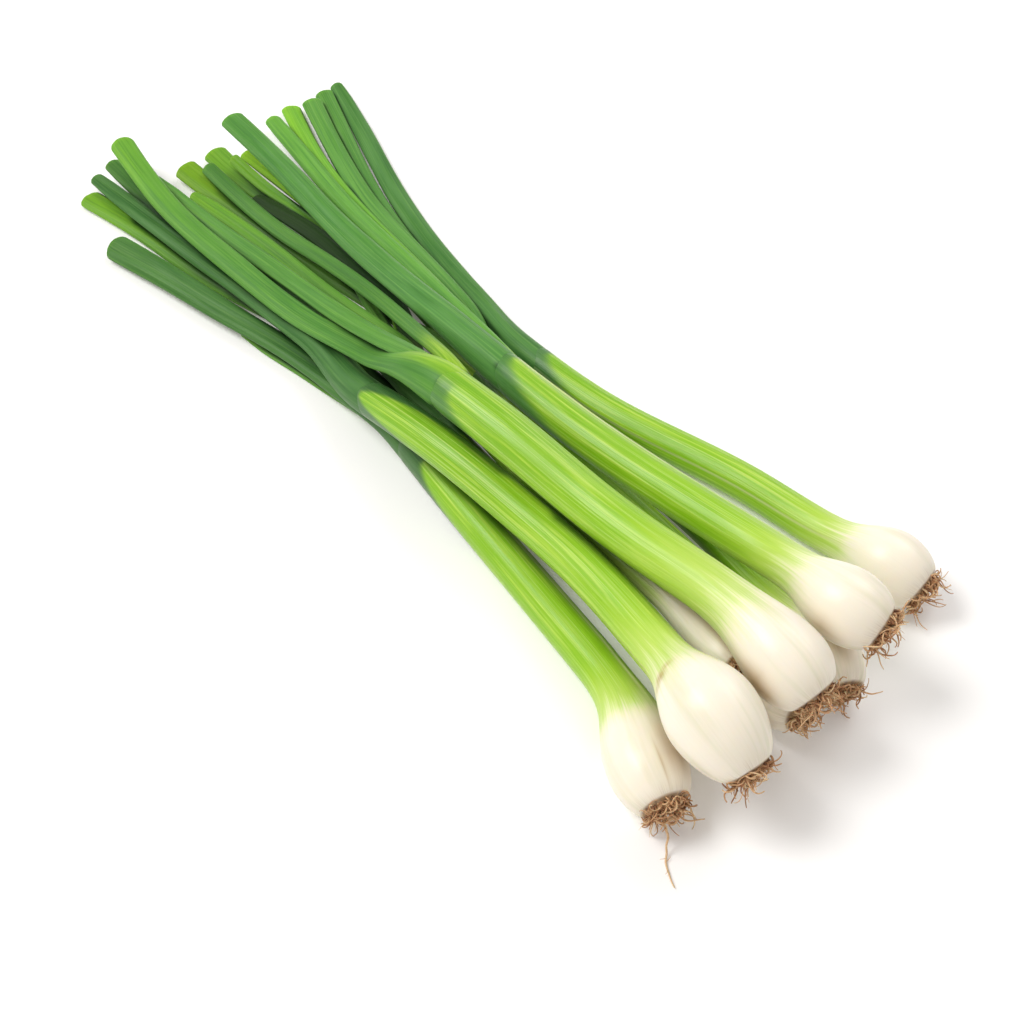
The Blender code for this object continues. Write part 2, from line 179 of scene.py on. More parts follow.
LEAF_LOOK = {
    "leaf_a1": look(0.12, 0.80, 0, 0.05, -6, 0.10, 0.7),
    "leaf_a2": look(0.34, 0.95, 0, 0.05, 8, 0.05, 0.5, 0.6),
    "leaf_b1": look(0.06, 0.86, 0, 0.02, 5, 0.08, 0.6, 0.2),
    "leaf_b2": look(0.42, 0.92, 30, 0.22, -5, 0.12, 0.5),
    "leaf_c1": look(0.24, 1.08, 34, 0.22, 6, 0.10, 0.75, 0.0, 34.0, 1.0, 45.0),
    "leaf_c2": look(0.26, 1.06, 30, 0.00, -6, 0.06, 0.5, 0.5),
    "leaf_c3": look(0.38, 0.92, 48, 0.20, 7, 0.12, 0.5, 0.7),
    "leaf_c4": look(0.22, 0.92, 48, 0.00, -8, 0.10, 0.4),
    "leaf_d1": look(0.14, 1.20, 0, 0.05, 4, 0.06, 0.3),
    "leaf_d2": look(0.28, 1.28, 16, 0.05, -6, 0.12, 0.7, 0.15),
    "leaf_d3": look(0.40, 1.26, 22, 0.18, 6, 0.08, 0.4),
    "leaf_e1": look(0.10, 1.00, 0, 0.03, -4, 0.05, 0.6, 0.3),
    "leaf_f1": look(0.22, 1.16, 0, 0.05, 5, 0.08, 0.3),
    "leaf_f2": look(0.18, 1.08, 0, 0.05, -5, 0.06, 0.3),
    "leaf_g1": look(0.40, 0.74, 20, 0.50, 6, 0.14, 0.25),
    "leaf_g2": look(0.38, 0.90, 20, 0.25, -4, 0.10, 0.3),
    "leaf_h1": look(0.34, 0.92, 20, 0.30, 16, 0.22, 0.5),
    "leaf_h2": look(0.66, 0.94, 20, 0.25, -8, 0.10, 0.4),
    "leaf_h3": look(0.22, 0.20, 20, 0.05, -4, 0.10, 0.4),
    "leaf_i1": look(0.16, 0.78, 0, 0.06, 5, 0.05, 0.5),
    "leaf_i2": look(0.22, 0.70, 0, 0.05, -4, 0.05, 0.4),
}
# Stem colour of each onion: bright, how far it stays bright green to its end;
# start and spread, mm past the widest point where green comes in; seam, the
# angle of the sheath's free edge; tongue, the angle, distance before the stem
# end and run-back of the sheath's green tongue over the dull leaf colour.
STEM_LOOK = {
    "a": dict(bright=0.85, start=12, spread=40, seam=0.55, tongue=(-0.5, 14, 14)),
    "b": dict(bright=0.60, start=10, spread=58, seam=-1.75, tongue=(-0.75, 0, 26)),
    "c": dict(bright=0.55, start=10, spread=74, seam=4.2, tongue=(-0.55, 6, 9), bare=1.0),
    "d": dict(bright=0.70, start=10, spread=60, seam=0.75, tongue=(0.45, 2, 9)),
    "e": dict(bright=0.80, start=10, spread=46, seam=5.4, tongue=(0.45, 4, 9)),
    "f": dict(bright=0.30, start=16, spread=40, seam=1.6, tongue=(0.0, 10, 12)),
    "g": dict(bright=0.30, start=16, spread=40, seam=4.6, tongue=(0.0, 10, 12)),
    "h": dict(bright=0.10, start=20, spread=60, seam=1.0, tongue=(0.0, 10, 12)),
    "i": dict(bright=0.60, start=16, spread=40, seam=2.0, tongue=(0.0, 10, 12)),
}


LIGHT = ("leaf_b2", "leaf_c1", "leaf_c3", "leaf_c4", "leaf_d3", "leaf_g1", "leaf_g2", "leaf_h2")
# Brown marks on the skin: distance from the plate, angle, their two sizes, depth.
SPOTS = {
    "b": ((37.0, -0.95, 1.7, 0.24, 0.95), (38.6, -0.62, 1.1, 0.24, 0.6), (35.6, -1.20, 1.2, 0.2, 0.6)),
    "a": ((9.0, 0.15, 6.5, 0.035, 0.75),),
}


# ------------------------------------------------------------------ curves
class Line:
    """Natural cubic spline through a few points, by chord length."""

    def __init__(self, points):
        p = np.array(points, float)
        self.k = np.r_[0.0, np.cumsum(np.linalg.norm(np.diff(p, axis=0), axis=1))]
        h = np.diff(self.k)
        n = len(p)
        a = np.eye(n)
        r = np.zeros((n, n))
        for i in range(1, n - 1):
            a[i, i - 1], a[i, i], a[i, i + 1] = h[i - 1], 2 * (h[i - 1] + h[i]), h[i]
            r[i, i - 1] += 6 / h[i - 1]
            r[i, i] -= 6 / h[i - 1] + 6 / h[i]
            r[i, i + 1] += 6 / h[i]
        self.p, self.m, self.h = p, np.linalg.solve(a, r @ p), h
        self.length = self.k[-1]

    def at(self, s):
        s = np.atleast_1d(np.asarray(s, float))
        q = np.clip(s, 0.0, self.length)
        i = np.clip(np.searchsorted(self.k, q, side="right") - 1, 0, len(self.h) - 1)
        h = self.h[i]
        a = (self.k[i + 1] - q) / h
        b = 1.0 - a
        out = (a[:, None] * self.p[i] + b[:, None] * self.p[i + 1]
               + ((a ** 3 - a)[:, None] * self.m[i] + (b ** 3 - b)[:, None] * self.m[i + 1])
               * (h ** 2 / 6.0)[:, None])
        over = (s - q)
        if np.any(over):
            d = self.direction(q)
            out = out + d * over[:, None]
        return out

    def direction(self, s):
        s = np.clip(np.atleast_1d(np.asarray(s, float)), 0.4, self.length - 0.4)
        d = self.at(s + 0.4) - self.at(s - 0.4)
        return d / np.linalg.norm(d, axis=1)[:, None]


def smooth(x):
    x = np.clip(x, 0.0, 1.0)
    return x * x * (3 - 2 * x)


def unit(v):
    return v / np.linalg.norm(v, axis=-1, keepdims=True)


def stem_radius(o, s, length):
    s = np.asarray(s, float)
    sh, draw = o["shoulder"], o["draw"]
    rise = np.sin(0.5 * np.pi * np.clip(s / sh, 0, 1)) ** 0.55
    low = o["plate"] + (o["bulb"] - o["plate"]) * rise
    fall = (0.5 + 0.5 * np.cos(np.pi * np.clip((s - sh) / draw, 0, 1))) ** o["haste"]
    mid = o["neck"] + (o["bulb"] - o["neck"]) * fall
    end = o["neck"] + (o["end"] - o["neck"]) * np.clip(
        (s - sh - draw) / (length - sh - draw), 0, 1.2)
    return np.where(s <= sh, low, np.where(s <= sh + draw, mid, end))


def half_width(base, middle, tip, t):
    return base * (1 - t) * (1 - 2 * t) + 4 * middle * t * (1 - t) + tip * t * (2 * t - 1)


# ------------------------------------------------------------------ meshes
def tube_mesh(name, rows, values, close_start=True, close_end=True):
    """Mesh through rows of points (n_rows, n_cols, 3), in mm; values are point
    attributes, each (n_rows, n_cols) or (n_rows, n_cols, 3)."""
    nr, nc, _ = rows.shape
    pts = rows.reshape(-1, 3)
    vals = {k: v.reshape(nr * nc, -1) for k, v in values.items()}
    i = np.arange(nr - 1)[:, None] * nc
    j = np.arange(nc)[None, :]
    j2 = (j + 1) % nc
    quads = np.stack([i + j, i + j2, i + nc + j2, i + nc + j], -1).reshape(-1, 4)
    tris = []
    extra = []
    if close_start:
        c = len(pts) + len(extra)
        extra.append(0)
        jj = np.arange(nc)
        tris.append(np.stack([np.full(nc, c), (jj + 1) % nc, jj], -1))
    if close_end:
        c = len(pts) + len(extra)
        extra.append(nr - 1)
        jj = np.arange(nc)
        b = (nr - 1) * nc
        tris.append(np.stack([np.full(nc, c), b + jj, b + (jj + 1) % nc], -1))
    for r in extra:
        pts = np.vstack([pts, rows[r].mean(0)[None]])
        for k in vals:
            vals[k] = np.vstack([vals[k], vals[k][r * nc:(r + 1) * nc].mean(0)[None]])
    return raw_mesh(name, pts, quads, np.vstack(tris) if tris else None, vals)


def raw_mesh(name, pts, quads, tris, vals):
    pts = (pts + MIDDLE) * MM
    pts[:, 2] = np.maximum(pts[:, 2], 0.0)
    mesh = bpy.data.meshes.new(name)
    nq = len(quads) if quads is not None else 0
    nt = len(tris) if tris is not None else 0
    loops = np.concatenate([quads.reshape(-1) if nq else np.zeros(0, int),
                            tris.reshape(-1) if nt else np.zeros(0, int)]).astype(np.int32)
    starts = np.concatenate([np.arange(nq) * 4, nq * 4 + np.arange(nt) * 3]).astype(np.int32)
    mesh.vertices.add(len(pts))
    mesh.vertices.foreach_set("co", pts.astype(np.float32).ravel())
    mesh.loops.add(len(loops))
    mesh.loops.foreach_set("vertex_index", loops)
    mesh.polygons.add(nq + nt)
    mesh.polygons.foreach_set("loop_start", starts)
    mesh.update(calc_edges=True)
    mesh.validate()
    mesh.polygons.foreach_set("use_smooth", np.ones(nq + nt, bool))
    for key, v in vals.items():
        if v.shape[1] == 3:
            a = mesh.attributes.new(key, "FLOAT_VECTOR", "POINT")
            a.data.foreach_set("vector", v.astype(np.float32).ravel())
        else:
            a = mesh.attributes.new(key, "FLOAT", "POINT")
            a.data.foreach_set("value", v[:, 0].astype(np.float32).ravel())
    obj = bpy.data.objects.new(name, mesh)
    bpy.context.scene.collection.objects.link(obj)
    return obj


def frames(line, s):
    """Direction, upward and sideways unit vectors at stations s."""
    d = line.direction(s)
    z = np.array([0.0, 0.0, 1.0])
    up = unit(z - d * d[:, 2:3])
    return d, up, np.cross(d, up)


# --------------------------------------------------------------- painted gap shade
def search_tree():
    """A search tree over the plain solids, and the owner of each face."""
    pts, faces, owner = [], [], []
    for name in sorted(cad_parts):
        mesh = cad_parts[name].data
        base = len(pts)
        pts.extend(v.co.copy() for v in mesh.vertices)
        for p in mesh.polygons:
            faces.append([base + i for i in p.vertices])
            owner.append(name)
    return BVHTree.FromPolygons(pts, faces), owner


TREE, OWNER = search_tree()
REACH = 13.0


def painted_crevice_shade(rows, name, every, step):
    """How closely other pieces crowd each point, 0 open to 1 closed in, which the materials turn into painted
    shade.
    """
    nr, nc, _ = rows.shape
    pick = np.unique(np.r_[np.arange(0, nr, every), nr - 1])
    cols = np.arange(0, nc, step)
    rays = []
    for tilt, count in ((0.25, 3), (0.75, 6), (1.2, 6)):
        for k in range(count):
            a = 2 * np.pi * (k + 0.5 * (tilt > 0.5)) / count
            rays.append((math.sin(tilt) * math.cos(a), math.sin(tilt) * math.sin(a),
                         math.cos(tilt)))
    rays = np.array(rays)
    weight = rays[:, 2] + 0.25
    middle = rows.mean(1)
    out = np.zeros((len(pick), len(cols)))
    for i, r in enumerate(pick):
        ahead = middle[min(r + 1, nr - 1)] - middle[max(r - 1, 0)]
        ahead = ahead / max(np.linalg.norm(ahead), 1e-9)
        for j, c in enumerate(cols):
            n = np.cross(rows[r, (c + 1) % nc] - rows[r, c - 1], ahead)
            n = n / max(np.linalg.norm(n), 1e-9)
            if n @ (rows[r, c] - middle[r]) < 0:
                n = -n
            side = np.cross(n, ahead)
            start = Vector((rows[r, c] + n * 0.5 + MIDDLE) * MM)
            shade_amount = 0.0
            for (x, y, z), w in zip(rays, weight):
                hit = TREE.ray_cast(start, Vector(ahead * x + side * y + n * z), REACH * MM)
                if hit[0] is not None and OWNER[hit[2]] != name:
                    shade_amount += w * (1 - 0.8 * hit[3] / (REACH * MM))
            out[i, j] = shade_amount / weight.sum()
    full = np.array([np.interp(np.arange(nr), pick, out[:, j]) for j in range(len(cols))]).T
    wrap = np.c_[full, full[:, :1]]
    at = np.r_[cols, nc]
    return np.array([np.interp(np.arange(nc), at, wrap[i]) for i in range(nr)])


# ------------------------------------------------------------------ onions
def build_onion(key, o, look, main, rng):
    line = Line(o["line"])
    length = line.length
    sh, draw = o["shoulder"], o["draw"]
    around = 96
    u = np.linspace(0, 1, 36)
    body = sh * (1 - np.cos(0.5 * np.pi * u)) ** 1.25     # denser by the plate
    rest = np.arange(sh + 0.9, length, 1.1)
    s = np.r_[body, rest, length]
    th = 2 * np.pi * np.arange(around) / around
    r = stem_radius(o, s, length)
    # bulbs aren't quite round
    bulbness = np.clip((r - o["neck"]) / (o["bulb"] - o["neck"]), 0, 1)
    ph = rng.uniform(0, 2 * np.pi, 4)
    oval = (0.012 * np.sin(2 * th + ph[0]) + 0.006 * np.sin(3 * th + ph[1]))
    rr = r[:, None] * (1 - 0.018 + oval[None, :] * (0.4 + 0.6 * bulbness[:, None]))
    # outer sheath: wraps round the stem and ends in one long edge
    w = smooth((s - sh * 1.3) / 30.0)
    drift = look["seam"] + 0.22 * np.sin(s / 55.0 + ph[2])
    d = np.mod(th[None, :] - drift[:, None], 2 * np.pi)
    near = np.minimum(d, 2 * np.pi - d)
    layer = np.where(d < 2.6, 0.36 * (1 - smooth(d / 2.6)), 0.0) * smooth(d / 0.07)
    rr = rr + (layer - 0.10) * w[:, None]
    seam = np.exp(-(near / 0.07) ** 2) * w[:, None]
    # faint ribs of the sheath
    ribs = (np.sin(11 * th + ph[3])[None, :] * 0.035 + np.sin(23 * th + ph[0])[None, :] * 0.025
            + np.sin(7 * th + ph[1])[None, :] * 0.05)
    rr = rr + ribs * w[:, None]
    # the stem closes round its leaves and ends in a slanting mouth
    closing = smooth((s - (length - 30)) / 26.0)[:, None]
    rr = rr * (1 - closing) + ((0.95 - 0.05 * smooth((s - (length - 5)) / 5.0)) * r)[:, None] * closing
    turn, apex, run = look["tongue"]
    slant = 4.0 * np.cos(th - turn) + 0.4 * np.sin(5 * th + ph[1])
    wgt = smooth((s - (length - 24)) / 24.0) ** 1.3
    s2 = s[:, None] + wgt[:, None] * slant[None, :]
    flat = s2.ravel()
    c = line.at(flat).reshape(len(s), around, 3)
    _, up, side = frames(line, flat)
    up = up.reshape(c.shape)
    side = side.reshape(c.shape)
    rows = c + up * (rr * np.cos(th))[..., None] + side * (rr * np.sin(th))[..., None]
    # thin lip and the inside of the mouth
    inner, s_in = [], []
    for depth, thin in ((0.0, 0.06), (0.4, 0.16), (2.0, 0.5), (5.0, 1.4), (8.0, 3.5)):
        si = s2[-1] - depth
        ci = line.at(si)
        _, ui, vi = frames(line, si)
        ri = np.maximum(rr[-1] - thin, 0.4)
        inner.append(ci + ui * (ri * np.cos(th))[:, None] + vi * (ri * np.sin(th))[:, None])
        s_in.append(si)
    # rounded rim of the root plate and its rough face
    front, s_front = [], []
    out = -line.direction(0.0)[0]
    c0 = line.at(0.0)[0]
    _, u0, v0 = frames(line, np.array([0.0]))
    r0 = rr[0]
    for reach, k in ((1.5, 0.08), (1.45, 0.35), (1.2, 0.6), (0.8, 0.8), (0.35, 0.93)):
        jag = 1 + 0.03 * np.sin(7 * th + ph[2]) + 0.03 * np.sin(13 * th + ph[3])
        ri = r0 * k * jag
        front.append(c0 + out * reach + u0 * (ri * np.cos(th))[:, None]
                     + v0 * (ri * np.sin(th))[:, None])
        s_front.append(np.full(around, -reach))
    rows = np.concatenate([np.array(front), rows, np.array(inner)])
    along = np.concatenate([np.array(s_front), s2, np.array(s_in)])
    n_all = len(rows)
    tt = np.broadcast_to(th, (n_all, around))
    lead, tail = len(front), len(inner)
    start = sh + look["start"]
    green = np.clip((along - start + 4) / look["spread"], 0, 1)
    deep = np.clip((along - start - look["spread"]) / (length - start - look["spread"]), 0, 1)
    # dull leaf colour runs back along the flanks of the green tongue
    off = np.mod(tt - turn + np.pi, 2 * np.pi) - np.pi
    # a fork shows bright green where its side leaves come out
    side_leaf = look.get("bare", 0.0) * smooth((off + 0.25) / 1.0) * smooth((2.4 - off) / 0.5)
    off = np.abs(off)
    bound = (length - apex) - run * off ** 2
    soft = 2.0 + 12.0 * off
    dull = smooth((along - bound) / soft + 0.5) * smooth((along - (length - 75)) / 40.0)
    dull = dull * (1 - side_leaf)
    stain = np.clip(1 - along / 5.0, 0, 1)
    seam = np.concatenate([np.zeros((lead, around)), seam, np.zeros((tail, around))])
    seam = seam * (1 - 0.7 * dull)
    spot = np.zeros((n_all, around))
    for (cs, ct, ls, lt, amount) in SPOTS.get(key, ()):
        da = np.abs(np.mod(tt - ct + np.pi, 2 * np.pi) - np.pi)
        spot = np.maximum(spot, amount * np.exp(-((along - cs) / ls) ** 2 - (da / lt) ** 2))
    grain = np.stack([np.cos(tt) * 9.0, np.sin(tt) * 9.0, along * 0.04], -1)
    grain = grain + rng.uniform(-50, 50, 3)
    whole = np.ones((n_all, around))
    vals = {"grain": grain, "green": green, "deep": deep, "stain": stain, "dull": dull,
            "seam": seam, "spot": spot, "bright": whole * look["bright"],
            "painted_crevice_shade": painted_crevice_shade(rows, "onion_" + key, 7, 6),
            "yel": whole * main["yel"], "shade": whole * main["shade"]}
    obj = tube_mesh("bulb_and_stem_" + key, rows, vals)
    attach(obj, "root")
    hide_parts("onion_" + key)
    return obj


# ------------------------------------------------------------------ leaves
def build_leaf(name, o, leaf, first, rng):
    base, middle, tip, route = leaf
    look = LEAF_LOOK[name]
    stem = Line(o["line"])
    end = stem.at(stem.length)[0]
    out = stem.direction(stem.length)[0]
    offset = np.array(route[0]) - end
    offset = offset - out * (offset @ out)
    inner = 12.0
    if first:
        own = Line(route)
        q = np.arange(0.0, own.length + 2.6, 2.6)
        p = own.at(q)
        start = end + out * (2.0 + q)[:, None]       # straight on from the stem
        k = smooth((q - 1.0) / look["bend"])[:, None]
        p = start * (1 - k) * (q < 48)[:, None] + p * np.where(q < 48, k[:, 0], 1.0)[:, None]
        back = stem.at(np.array([stem.length - inner, stem.length - inner * 0.6,
                                 stem.length - inner * 0.2]))
        p = np.concatenate([back, p[q > 0.5][:-1], own.at(own.length)])
        p = p[::3] if (len(p) - 1) % 3 == 0 else np.concatenate([p[::3], p[-1:]])
        line = Line(p)
    else:
        keep = 0.95
        line = Line([stem.at(stem.length - inner)[0] + offset * keep * 0.5,
                     end + out * 1.0 + offset * keep] + [np.array(p, float) for p in route[1:]])
    length = line.length
    around = 44
    s = np.arange(0, length - 9.0, 1.3)
    s = np.r_[s, length - 9.0 * (1 - np.linspace(0, 1, 18)) ** 1.4]
    n = len(s)
    t = np.clip((s - inner) / (length - inner), 0, 1)
    a = half_width(base, middle, tip, t)
    if first:      # the main leaf fills the mouth of the stem
        full = o["end"] * 0.935
        a = a + (full - a) * (1 - smooth((s - inner - 1) / look["neck"]))
        ratio = 0.44 + 0.56 * (1 - smooth((s - inner - 2) / (look["neck"] * 1.5)))
    else:
        ratio = 0.42 + 0.14 * (1 - smooth((s - inner) / 40.0))
    ph = rng.uniform(0, 2 * np.pi, 6)
    out_of = smooth((s - inner - 6) / 25.0)
    a = a * (1 + out_of * (0.018 * np.sin(s / 17.0 + ph[0]) + 0.012 * np.sin(s / 7.3 + ph[1])))
    b = np.maximum(a * ratio, 1.15)
    b = b * (1 + out_of * 0.05 * np.sin(s / 23.0 + ph[2]))
    # pressed flat towards the cut end, with rounded corners
    to_end = length - s
    b = b * (0.50 + 0.50 * smooth(to_end / 30.0))
    a = a * (1 - 0.5 * look["point"] * smooth(1 - to_end / 16.0) ** 1.4)
    e = look["blunt"] * a[-1] + 0.4
    corner = np.sqrt(np.clip(1 - (1 - np.clip(to_end / e, 0, 1)) ** 2, 0, 1))
    drop = 0.12 + 0.45 * look["blunt"]
    a = a * (1 - drop + drop * corner)
    b = b * (0.62 + 0.38 * corner)
    th = 2 * np.pi * np.arange(around) / around
    x = np.cos(th)
    y = np.sin(th)
    g = look["groove"] * smooth((s - inner - 15) / 40.0)
    gx = 0.35 * np.sin(ph[3])
    dip = np.exp(-((x - gx) / 0.34) ** 2)
    top = np.where(y > 0, y, 0)
    yy = y[None, :] - (g * 2.2)[:, None] * (dip * top)[None, :]
    yy = yy + (0.03 * smooth((s - inner - 6) / 25.0))[:, None] * np.sin(9 * th + ph[4])[None, :]
    c = line.at(s)
    d = line.direction(s)
    across = unit(np.cross(LEAF_FACE, d))
    thick = np.cross(d, across)
    tw = np.radians(look["turn"]) * np.sin(np.pi * t * 1.3 + ph[5]) * smooth((s - inner) / 30)
    ca, sa = np.cos(tw)[:, None], np.sin(tw)[:, None]
    across, thick = across * ca + thick * sa, thick * ca - across * sa
    rows = (c[:, None, :]
            + across[:, None, :] * (a[:, None] * x[None, :])[..., None]
            + thick[:, None, :] * (b[:, None] * yy)[..., None])
    along = np.broadcast_to(s[:, None], (n, around)).copy()
    # the cut edge curves a little across the leaf, then the wall turns in
    skew = 0.55 * x ** 2 * -1.0 + 0.25 * x * np.sin(ph[0])
    wgt = smooth(1 - to_end / 7.0)
    rows = rows + d[:, None, :] * (wgt[:, None] * (skew * a[-1] * 0.55)[None, :])[..., None]
    inner_rows, inner_s = [], []
    for depth, wall in ((0.02, 0.25), (0.3, 0.40), (1.5, 0.5), (3.0, 0.9)):
        k = np.searchsorted(s, length - depth) - 1
        k = min(max(k, 0), n - 1)
        fa = max(a[-1] - wall, 0.3) if depth < 1 else max(a[k] - wall, 0.3)
        fb = max(b[-1] - wall, 0.12) if depth < 1 else max(b[k] - wall, 0.12)
        cc = line.at(length - depth)[0]
        ww = smooth(1 - depth / 7.0)
        inner_rows.append(cc + across[-1] * (fa * x)[:, None] + thick[-1] * (fb * yy[-1])[:, None]
                          + d[-1] * (ww * skew * a[-1] * 0.55)[:, None])
        inner_s.append(np.full(around, length - depth))
    rows = np.concatenate([rows, np.array(inner_rows)])
    along = np.concatenate([along, np.array(inner_s)])
    n2 = len(rows)
    inside = np.zeros((n2, around))
    inside[n:] = 1.0
    tt = np.clip((along - inner) / (length - inner), 0, 1)
    yel = look["yel"] + look["tip"] * smooth((tt - 0.62) / 0.38) ** 1.2
    fresh = (1 - smooth((along - inner) / max(look["base"], 1.0))) * (look["base"] > 0)
    fresh = fresh * (1 - look["half"] * smooth((x[None, :] + 0.55) / 0.9))
    edge = smooth(1 - (length - along) / 3.0)
    yel = yel + 0.14 * edge
    xx = np.broadcast_to(x[None, :], (n2, around))
    grain = np.stack([np.cos(th)[None, :] * np.full((n2, 1), 5.0),
                      np.sin(th)[None, :] * np.full((n2, 1), 5.0), along * 0.05], -1)
    grain = grain + rng.uniform(-50, 50, 3)
    vals = {"grain": grain, "yel": yel, "fresh": fresh,
            "shade": np.full((n2, around), look["shade"]), "inside": inside,
            "painted_crevice_shade": painted_crevice_shade(rows, name, 6, 4),
            "middle": 1 - np.abs(xx)}
    obj = tube_mesh("blade_" + name[5:], rows, vals)
    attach(obj, "root")
    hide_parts(name)
    return obj


# ------------------------------------------------------------------ roots
def fibre(points, radius, sides=6):
    """Rows of a thin tube along given points, thinning to its tip."""
    p = np.array(points)
    n = len(p)
    d = np.gradient(p, axis=0)
    d = unit(d + 1e-9)
    ref = np.array([0.31, 0.52, 0.79])
    a = unit(np.cross(d, ref))
    b = np.cross(d, a)
    th = 2 * np.pi * np.arange(sides) / sides
    taper = radius * (1 - 0.5 * (np.linspace(0, 1, n) ** 2))
    return (p[:, None, :] + a[:, None, :] * (taper[:, None] * np.cos(th))[..., None]
            + b[:, None, :] * (taper[:, None] * np.sin(th))[..., None])


def join_fibres(name, parts, tones):
    pts, quads, tris, tone, grain = [], [], [], [], []
    base = 0
    for rows, tn in zip(parts, tones):
        nr, nc, _ = rows.shape
        pts.append(rows.reshape(-1, 3))
        i = np.arange(nr - 1)[:, None] * nc
        j = np.arange(nc)[None, :]
        j2 = (j + 1) % nc
        quads.append(base + np.stack([i + j, i + j2, i + nc + j2, i + nc + j], -1).reshape(-1, 4))
        for r in range(1, nc - 1):
            tris.append([[base, base + r + 1, base + r]])
            e = base + (nr - 1) * nc
            tris.append([[e, e + r, e + r + 1]])
        tone.append(np.full((nr * nc, 1), tn) + 0.12 * np.repeat(np.linspace(-1, 1, nr), nc)[:, None])
        grain.append(rows.reshape(-1, 3) * 0.6)
        base += nr * nc
    return raw_mesh(name, np.vstack(pts), np.vstack(quads), np.vstack(tris),
                    {"tone": np.vstack(tone), "grain": np.vstack(grain)})


X_LIMIT = cad_high.x / MM - MIDDLE[0] - 0.7


def keep_in(p):
    p = np.array(p)
    p[:, 2] = np.maximum(p[:, 2], 0.45)
    p[:, 0] = np.where(p[:, 0] > X_LIMIT - 1.5,
                       X_LIMIT - 1.5 + 1.5 * (1 - np.exp(-(p[:, 0] - X_LIMIT + 1.5) / 1.5)),
                       p[:, 0])
    return p


def wander(start, v, n, size, curl_axis, curl, rng, stray=0.10, sag=0.03):
    """Points of one fibre that starts along v and curls about an axis."""
    step = size / n
    p = np.array(start, float)
    pts = [p - v * 0.8]
    wob = rng.normal(0, 1, 3)
    for _ in range(n):
        pts.append(p.copy())
        p = p + v * step
        ca, sa = math.cos(curl), math.sin(curl)
        v = v * ca + np.cross(curl_axis, v) * sa + curl_axis * (curl_axis @ v) * (1 - ca)
        wob = 0.7 * wob + rng.normal(0, 1, 3) * 0.5
        v = unit(v + wob * stray + np.array([0, 0, -sag]))
    return keep_in(pts)


def build_roots(key, o, rng, count):
    line = Line(o["line"])
    c0 = line.at(0.0)[0]
    out = -line.direction(0.0)[0]
    z = np.array([0.0, 0.0, 1.0])
    up = unit(z - out * out[2])
    side = np.cross(out, up)
    plate = o["plate"]
    grow = plate / 7.6
    parts, tones = [], []
    # tightly curled fibres, trimmed short
    for k in range(count):
        rad = plate * 0.90 * math.sqrt(rng.uniform(0.0, 1.0))
        ang = rng.uniform(0, 2 * np.pi)
        radial = up * math.cos(ang) + side * math.sin(ang)
        start = c0 + radial * rad + out * rng.uniform(0.3, 1.0)
        lean = rad / plate
        v = unit(out * rng.uniform(0.8, 1.3) + radial * (0.05 + 0.34 * lean)
                 + rng.normal(0, 0.22, 3))
        n = 20
        turns = rng.uniform(2.4, 8.0) * rng.choice([-1, 1])
        axis = unit(np.cross(out, radial) + rng.normal(0, 0.7, 3))
        pts = wander(start, v, n, rng.uniform(5.0, 12.0) * grow, axis, turns / n, rng, 0.10)
        parts.append(fibre(pts, rng.uniform(0.20, 0.38)))
        tones.append(rng.uniform(0.25, 0.95))
    # matted stubs between them
    for k in range(count):
        rad = plate * 0.93 * math.sqrt(rng.uniform(0, 1))
        ang = rng.uniform(0, 2 * np.pi)
        radial = up * math.cos(ang) + side * math.sin(ang)
        v = unit(out + radial * 0.3 + rng.normal(0, 0.4, 3))
        pts = wander(c0 + radial * rad + out * 0.4, v, 8, rng.uniform(1.8, 4.2) * grow,
                     unit(rng.normal(0, 1, 3)), rng.uniform(-0.25, 0.25), rng, 0.15)
        parts.append(fibre(pts, rng.uniform(0.28, 0.48)))
        tones.append(rng.uniform(0.05, 0.5))
    # a few fine hairs that stick out
    for k in range(3):
        ang = rng.uniform(0, 2 * np.pi)
        radial = up * math.cos(ang) + side * math.sin(ang)
        v = unit(out * 0.9 + radial * rng.uniform(0.2, 1.1))
        pts = wander(c0 + radial * plate * 0.7 + out, v, 16, rng.uniform(7.5, 12.0) * grow,
                     unit(rng.normal(0, 1, 3)), rng.uniform(-0.05, 0.05), rng, 0.05)
        parts.append(fibre(pts, rng.uniform(0.10, 0.16), 5))
        tones.append(rng.uniform(0.5, 0.9))
    if key == "a":
        # two fat curled roots that face the front, and the short one beside
        view = unit(np.array([0.49, -0.41, 0.77]))
        right = np.array([0.643, 0.766, 0.0])
        high = np.cross(view, right)
        for cx, cy, size, start_at, thick in ((-2.6, 0.6, 2.6, 0.6, 0.62), (1.6, 1.2, 1.9, 2.4, 0.5),
                                              (0.4, -1.0, 1.5, 4.0, 0.45)):
            mid = c0 + out * 4.2 + right * cx + high * cy
            a = start_at + np.linspace(0, 5.2, 26)
            q = (mid + np.outer(np.cos(a), right) * size + np.outer(np.sin(a), high) * size
                 + np.outer(np.linspace(-1.2, 0.8, 26), view))
            parts.append(fibre(keep_in(q), thick, 8))
            tones.append(0.72)
        short = Line([(180.5, -61.2, 12.0), (183.4, -61.2, 10.2), (185.2, -61.2, 7.5),
                      (187.2, -61.6, 3.6), (187.2, -62.4, 1.0)])
        parts.append(fibre(keep_in(short.at(np.linspace(0, short.length, 24))), 0.34))
        tones.append(0.9)
    obj = join_fibres("root_tuft_" + key, parts, tones)
    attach(obj, "root")
    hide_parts("roots_" + key)
    return obj


# --------------------------------------------------------------- materials
def rgb(code, k=1.0):
    """Linear colour from a hex code."""
    c = [int(code[i:i + 2], 16) / 255 for i in (1, 3, 5)]
    c = [v / 12.92 if v <= 0.04045 else ((v + 0.055) / 1.055) ** 2.4 for v in c]
    return (c[0] * k, c[1] * k, c[2] * k, 1.0)


